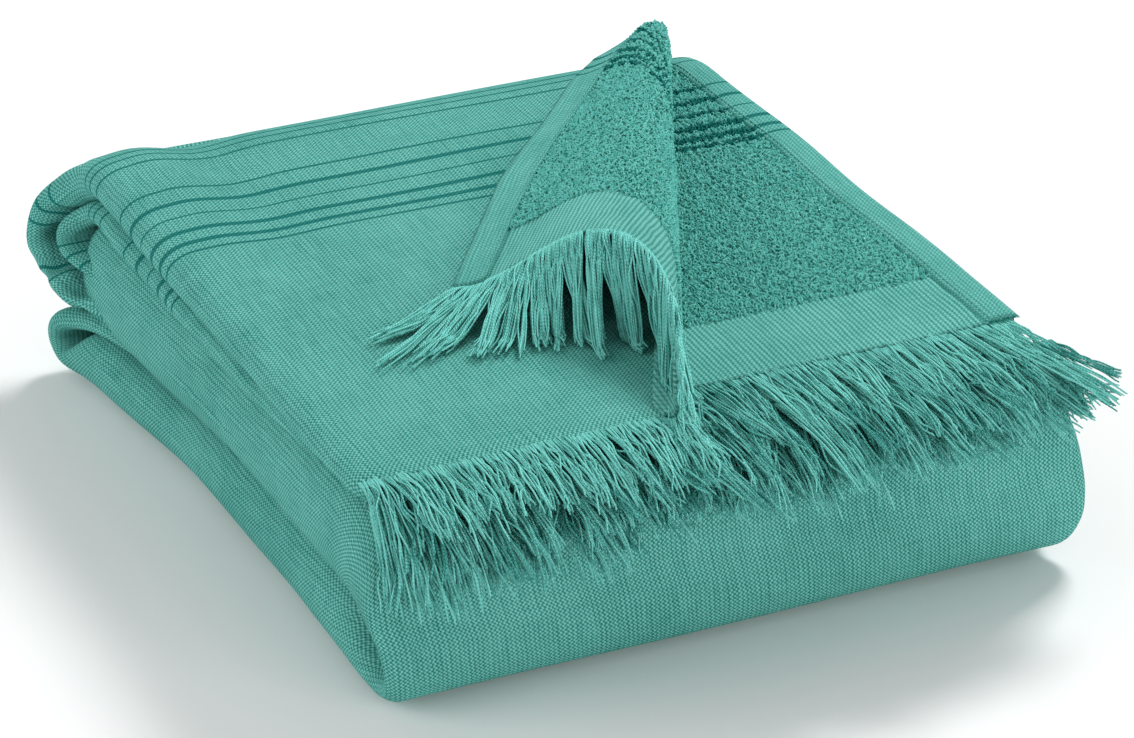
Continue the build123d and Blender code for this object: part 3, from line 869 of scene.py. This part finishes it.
def loops(name, places, normals, runs, uv, seed):
    """Terry loops: an arch of yarn at each place, leaning its own way."""
    random = np.random.default_rng(seed)
    count = len(places)
    height = random.uniform(0.8, 1.5, count)
    width = random.uniform(0.4, 0.75, count)
    turn = random.uniform(-1.1, 1.1, count)
    side = np.cross(normals, runs)
    direction = runs * np.cos(turn)[:, None] + side * np.sin(turn)[:, None]
    lean = (runs * random.normal(0, 0.55, count)[:, None] + side * random.normal(0, 0.55, count)[:, None])
    arch = np.linspace(0, pi, LOOP_STEPS)
    out = height[:, None] * (np.sin(arch) ** 0.8) - 0.35
    along = width[:, None] * -np.cos(arch) * (1 + 0.35 * np.sin(arch))
    strands = (places[:, None] + direction[:, None] * along[..., None]
               + (normals + lean)[:, None] * out[..., None])
    shares = np.clip(0.5 + 0.16 * random.normal(size=count), 0, 1)
    piece = tubes(name, strands, LOOP_RADIUS, TERRY, shares, LOOP_SIDES, caps=False)
    cloth = np.zeros((count, LOOP_STEPS * LOOP_SIDES, 3))
    cloth[..., 0] = uv[:, None, 0] + np.repeat(np.linspace(0, 1, LOOP_STEPS), LOOP_SIDES)
    cloth[..., 1] = uv[:, None, 1]
    cloth[..., 2] = shares[:, None]
    piece.data.attributes["cloth"].data.foreach_set("vector", cloth.astype(np.float32).ravel())
    return piece


def scattered(grid, v, u, pitch, seed, keep):
    """Places on a grid of cloth, about pitch apart, with their normals and directions along v."""
    random = np.random.default_rng(seed)
    rows, columns = grid.shape[:2]
    cell_a = grid[1:, :-1] - grid[:-1, :-1]
    cell_b = grid[:-1, 1:] - grid[:-1, :-1]
    area = np.linalg.norm(np.cross(cell_a, cell_b), axis=-1)
    total = int(area.sum() / pitch ** 2)
    chosen = random.choice(area.size, size=total, p=area.ravel() / area.sum())
    i, j = np.divmod(chosen, columns - 1)
    a, b = random.random(total)[:, None], random.random(total)[:, None]

    def at(values):
        values = values.reshape(rows, columns, -1)
        return (values[i, j] * (1 - a) * (1 - b) + values[i + 1, j] * a * (1 - b)
                + values[i, j + 1] * (1 - a) * b + values[i + 1, j + 1] * a * b)

    places, normals = at(grid), at(grid_normals(grid, -1))
    uv = np.concatenate([at(np.array(u)), at(np.array(v))], axis=1)
    run = unit(np.gradient(grid, axis=0))
    kept = keep(places, uv)
    return places[kept], unit(normals)[kept], unit(at(run))[kept], uv[kept]


BORDER = PILE_FRONT - TERRY_FRONT  # the flat woven border before the pile starts


def on_layer(places, uv):
    """Where the second layer's pile is seen: right of the corner, inside the hem, not round the back."""
    x, y, z = places.T
    in_hem = np.interp(uv[:, 1], layer_v, hem_inner)
    return (x > crease_x(y, LIFT_OFF)) & (x < in_hem) & (z > 70) & (uv[:, 1] > LAYER_START + BORDER)


def on_flap(places, uv):
    return (uv[:, 1] > FRINGE_START + BORDER) & (uv[:, 0] < 1.0 - SEAM)


layer_v_grid = np.broadcast_to(layer_v[:, None], layer_x.shape)
terry_places = scattered(layer_grid, layer_v_grid, layer_x, LOOP_PITCH, 71, on_layer)
terry_field = loops("terry_field", *terry_places, 72)
belongs(terry_field, "terry_pile", "top_panel", "terry_pile")
flap_loops = loops("corner_terry", *scattered(flap_grid, flap_v, flap_u, LOOP_PITCH, 73, on_flap), 74)
belongs(flap_loops, "terry_pile", "corner", "corner_pile")
roll_loops = loops("roll_terry", *scattered(roll_grid, roll_v, roll_u, LOOP_PITCH, 75, on_flap), 76)
belongs(roll_loops, "terry_pile", ROLL_BEND)


# ---- fringes ----
STRAND_STEPS = 16
KNOTS = 5


def smooth_noise(random, count, size):
    """Slowly varying random offsets along each strand."""
    knots = random.normal(0, size, (count, KNOTS, 3))
    knots[:, 0] = 0
    places = np.linspace(0, KNOTS - 1, STRAND_STEPS)
    low = np.minimum(places.astype(int), KNOTS - 2)
    t = (places - low)[None, :, None]
    t = t * t * (3 - 2 * t)
    return knots[:, low] * (1 - t) + knots[:, low + 1] * t


ROOT_DEPTH = 1.5  # how far a yarn's root lies inside the cloth


def fringe(name, roots, reach, drop, drift, seed, clump, gather, lean, tone):
    """A row of loose yarns, gathered in small clumps, that reach forward and fall.

    roots is count x 3; reach, drop and drift are how far each goes forward, down and to the right.
    """
    random = np.random.default_rng(seed)
    count = len(roots)
    size = random.integers(2, 2 * clump, count)
    group = np.searchsorted(np.cumsum(size), np.arange(count), side="right")
    group_shift = random.normal(0, 1, (count, 3))[group]
    middle = np.array([roots[group == g].mean(axis=0) for g in range(group.max() + 1)])[group]
    t = np.linspace(0, 1, STRAND_STEPS)
    scale = random.normal(1, 0.07, count) * (1 + 0.05 * group_shift[:, 2])
    forward = (reach * scale * (1 + 0.10 * group_shift[:, 0]))[:, None] * np.sin(t * 1.35) / sin(1.35)
    curve = random.uniform(1.5, 2.3, count)[:, None]
    fall = (drop * scale * (1 + 0.16 * group_shift[:, 1]))[:, None] * t ** curve
    sideways = (drift + lean * group_shift[:, 0] + 0.9 * random.normal(size=count))[:, None] * t ** 1.3
    together = (middle - roots)[:, None, 0] * gather * random.uniform(0.3, 1.0, (count, 1)) * t ** 0.8
    strands = np.repeat(roots[:, None], STRAND_STEPS, axis=1)
    strands[..., 0] += sideways + together
    strands[..., 1] += ROOT_DEPTH * (t == 0) - forward
    strands[..., 2] -= fall
    strands += smooth_noise(random, count, 0.75) * np.array([1.0, 0.8, 0.8])
    # A yarn's share between highlight and shade: its row's painted shade, with random tone by yarn and
    # clump.
    shares = np.clip(tone + 0.22 * random.normal(size=count) + 0.16 * group_shift[:, 1], 0, 1)
    taper = YARN_RADIUS * np.array([1.0] * (STRAND_STEPS - 1) + [0.75])
    return tubes(name, strands, taper, YARN, shares)


def row_roots(left, right, pitch, y, z, seed):
    """Where the yarns of a row leave the cloth, in order from left to right."""
    random = np.random.default_rng(seed)
    x = np.arange(left, right, pitch)
    x = np.sort(x + random.uniform(-0.4, 0.4, len(x)) * pitch)
    y = y + random.normal(0, 0.3, len(x))
    z = z + random.normal(0, 0.25, len(x))
    return np.stack([x, y, z], -1)


TOP_ROW_END = float(crease_x(FRINGE_START, LIFT_OFF)) + 6
FRINGE_ROWS = (
    # left, right, y, z, reach, drop, drift, right corner drift, pitch, seed
    (-123.0, TOP_ROW_END, FRINGE_START, 83.2, 20.0, 9.5, 3.0, 0.0, 0.45, 81),
    (-20.0, 107.0, TERRY_FRONT, 80.6, 26.0, 8.0, 7.0, 20.0, 0.5, 82),
    (-119.0, 116.0, 11.0, 76.6, 31.0, 17.0, 5.0, 9.0, 0.5, 83),
    (-118.0, 114.0, 11.5, 73.4, 31.0, 20.0, 1.0, 10.0, 0.5, 84),
    (-117.0, 115.0, 12.5, 71.0, 30.0, 22.0, 6.0, 8.0, 0.5, 85),
    (-117.0, 116.0, 12.5, 69.4, 28.5, 22.0, 0.0, 8.0, 0.6, 86),
    (-117.0, 116.0, 12.5, 67.8, 27.5, 23.0, 4.0, 10.0, 0.6, 87),
)
# How the yarns of the top sheet, the second layer and the plies below hang: yarns in a clump, how far a
# clump gathers and leans, its tone (painted shade: the plies' rows below are darker), and how much
# shorter its yarns are at the right corner.
TIERS = ((5, 0.3, 1.4, 0.75, 0.3), (8, 0.7, 3.0, 0.75, 0.3), (11, 0.85, 3.0, 0.38, 0.5))
# How far the rows below the top two fall, as a share, by place across the pack.
LOWER_FALL = ((-120, -90, -30, 20, 60, 110), (1.0, 0.75, 0.42, 0.6, 0.36, 0.3))
LEFT_CORNER_FALL = 22  # how much further the top three rows fall at the left corner
for number, row in enumerate(FRINGE_ROWS, start=1):
    left, right, y, z, reach, drop, drift, corner_drift, pitch, seed = row
    clump, gather, lean, tone, shorter = TIERS[min(number, len(TIERS)) - 1]
    roots = row_roots(left, right, pitch, y, z, seed)
    x = roots[:, 0]
    at_left = bell(x, -124, 9)
    at_right = np.clip((x - 62) / 55, 0, 1) ** 1.3
    waves = folds(x, 0 * x, seed, 1.0, 45.0, 45.0, 5)
    forward = (reach + 2.0 * waves) * (1 - 0.6 * at_left) * (1 - shorter * at_right)
    down = drop + 3.0 * waves + 9 * at_right
    if number > 2:
        down = down * np.interp(x, *LOWER_FALL)
    if number <= 3:
        down = down + LEFT_CORNER_FALL * at_left
    sideways = drift + 2.0 * waves + corner_drift * at_right - 2 * at_left
    piece = fringe(f"fringe_yarns_{number}", roots, forward, down, sideways, seed + 100,
                   clump, gather, lean + 1.2 * at_right, tone)
    belongs(piece, "fringe_yarn", "top_panel", f"fringe_row_{number}")

# The corner's own fringe hangs from its sloping edge: where each yarn ends, by its place round.
TIPS = (
    # around, then how far the tip lies to the right, forward and down from the root
    (0.0, 4.0, 14.0, 8.0),
    (9.0, 0.0, 14.0, 12.0),
    (17.0, -5.0, 17.0, 20.0),
    (26.0, -9.0, 21.0, 33.0),
    (45.0, -7.0, 21.0, 38.0),
    (70.0, -9.0, 24.0, 30.0),
    (90.0, -24.0, 25.0, 14.0),
    (111.0, -48.0, 21.0, 3.0),
)


def edge_yarns(name, low, high, count, seed, clump):
    """Yarns hanging from the fringed edge of the corner between two places round it."""
    random = np.random.default_rng(seed)
    around = np.sort(random.uniform(low, high, count))
    size = random.integers(4, 2 * clump, count)
    group = np.searchsorted(np.cumsum(size), np.arange(count), side="right")
    shift = random.normal(0, 1, (count, 3))[group]
    end = edge_distance(around)
    root = cone_place(end - 0.8, *section(around, end))
    run = unit(cone_place(end + 5.0, *section(around, end)) - root)
    middle = np.array([root[group == g].mean(axis=0) for g in range(group.max() + 1)])[group]
    table = np.array(TIPS)
    right, forward, down = (np.interp(around, table[:, 0], table[:, k]) for k in (1, 2, 3))
    length = random.normal(1, 0.07, count) * (1 + 0.08 * shift[:, 2])
    way = np.stack([right + 3.5 * shift[:, 0], -forward + 3.0 * shift[:, 1], -down], -1)
    tip = root + way * length[:, None]
    tip += (middle - root) * random.uniform(0.3, 0.9, (count, 1)) * [1, 1, 0.5]
    knee = root + run * 11.0 * length[:, None]
    t = np.linspace(0, 1, STRAND_STEPS)[:, None]
    strands = root[:, None] * (1 - t) ** 2 + knee[:, None] * 2 * t * (1 - t) + tip[:, None] * t ** 2
    strands += smooth_noise(random, count, 0.6)
    # Over the stack the yarns lie on it instead of running into it.
    resting = STACK_TOP + 1.0 + random.uniform(0, 2.5, (count, 1))
    on_stack = strands[..., 1] > FRINGE_START
    strands[..., 2] = np.where(on_stack, np.maximum(strands[..., 2], resting), strands[..., 2])
    shares = np.clip(0.7 + 0.2 * random.normal(size=count), 0, 1)
    return tubes(name, strands, YARN_RADIUS, YARN, shares)


corner_fringe = edge_yarns("corner_fringe_yarns", ROLL_LENGTH, FREE_EDGE, 560, 91, 20)
belongs(corner_fringe, "fringe_yarn", bend("top_panel", "corner", 0.0, 86.0, 102.0), "corner_fringe")
crease_yarns = edge_yarns("crease_yarns", 0.0, ROLL_LENGTH + 1.0, 80, 92, 6)
belongs(crease_yarns, "fringe_yarn", ROLL_BEND)


# ---- stitches ----
STITCH_PITCH = 2.6
STITCH_LENGTH = 1.9
STITCH_RADIUS = 0.22


def stitches(name, grid, column):
    """Short stitches laid on a hem along one column of its grid."""
    line = grid[:, column]
    up = grid_normals(grid, -1)[:, column]
    steps = np.concatenate([[0], np.cumsum(np.linalg.norm(np.diff(line, axis=0), axis=1))])
    starts = np.arange(1.0, steps[-1] - STITCH_PITCH, STITCH_PITCH)
    t = np.linspace(0, 1, 5)
    places = starts[:, None] + STITCH_LENGTH * t
    strands = np.stack([np.interp(places, steps, line[:, k]) for k in range(3)], -1)
    lift = np.stack([np.interp(places, steps, up[:, k]) for k in range(3)], -1)
    strands = strands + lift * (0.45 * np.sin(pi * t) - 0.12)[None, :, None]
    return tubes(name, strands, STITCH_RADIUS, THREAD_YARN, np.full(len(starts), 0.4))


terry_stitches = stitches("second_layer_stitches", hem_grid, 2)
belongs(terry_stitches, "sewing_thread", BACK_BEND, "terry_hem_stitching")
corner_stitches = stitches("corner_stitches", corner_hem_grid, 1)
belongs(corner_stitches, "sewing_thread", "corner", "corner_hem_stitching")


# ---- floor and light ----
def floor(size=3.0):
    """A plain square just below the pack, reaching size metres each way."""
    mesh = bpy.data.meshes.new("floor")
    corners = [(-size, -size, 0), (size, -size, 0), (size, size, 0), (-size, size, 0)]
    mesh.from_pydata(corners, [], [(0, 1, 2, 3)])
    piece = bpy.data.objects.new("floor", mesh)
    bpy.context.scene.collection.objects.link(piece)
    graph = Graph("floor", roughness=0.9, specular=0.0)
    piece.data.materials.append(graph.finish((0.95, 0.95, 0.95, 1.0)))
    piece.location.z = min(0.0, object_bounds()[0].z) - 0.0002
    piece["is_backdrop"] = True


def lamp(name, place, size, energy, target=(0.0, 0.0, 0.05)):
    light = bpy.data.lights.new(name, "AREA")
    light.size = size
    light.energy = energy
    holder = bpy.data.objects.new(name, light)
    holder.location = place
    holder.rotation_mode = "QUATERNION"
    holder.rotation_quaternion = (Vector(target) - Vector(place)).to_track_quat("-Z", "Y")
    bpy.context.scene.collection.objects.link(holder)


floor()
lamp("key", (1.1, 0.8, 1.6), 0.6, 30.0)
lamp("fill", (-1.8, 0.1, 0.9), 1.2, 16.0)
lamp("front", (0.5, -1.8, 0.6), 1.2, 14.0)
world = bpy.data.worlds.new("studio")
world.use_nodes = True
world.node_tree.nodes["Background"].inputs["Color"].default_value = (1.0, 1.0, 1.0, 1.0)
world.node_tree.nodes["Background"].inputs["Strength"].default_value = 0.4
bpy.context.scene.world = world
